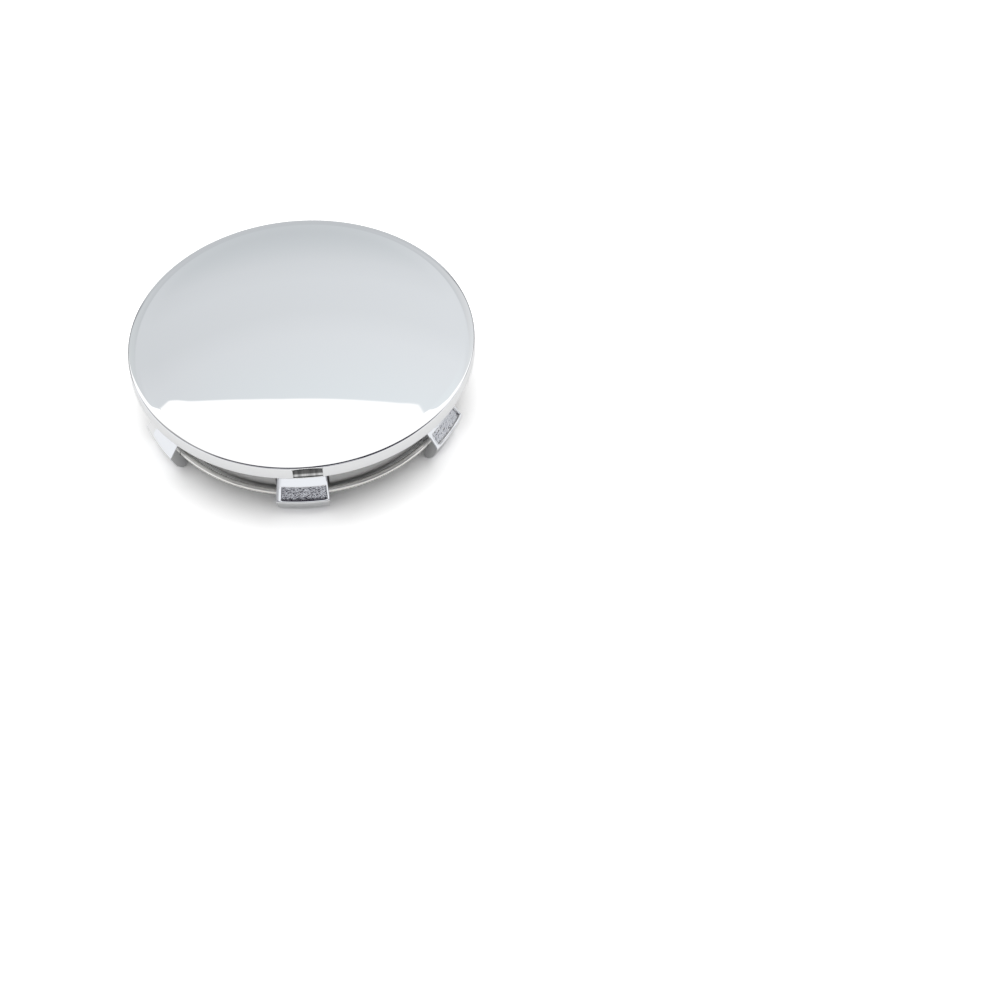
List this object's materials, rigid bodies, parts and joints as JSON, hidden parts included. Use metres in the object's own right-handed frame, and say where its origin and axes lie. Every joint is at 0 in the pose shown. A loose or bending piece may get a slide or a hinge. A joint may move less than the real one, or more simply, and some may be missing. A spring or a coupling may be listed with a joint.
{
  "type": "wheel centre cap",
  "caption": "Round chrome centre cap for a car wheel, with a crowned mirror face, snap clips on a short skirt and a split wire ring that spreads the clips.",
  "frame": {"origin": "on the axis of the cap, on the plane that the feet of the clips stand on", "axes": "+Z along the axis of the cap, out of its crowned face; -Y through the middle of one clip"},
  "size_m": [0.069, 0.069, 0.0167],
  "materials": {
    "chrome": "mirror plated, with a grainy pocket in two of the clips",
    "wire": "drawn wire, bright"
  },
  "bodies": {
    "root": {"cap_body": "chrome", "wire_ring": "wire"}
  },
  "joints": []
}
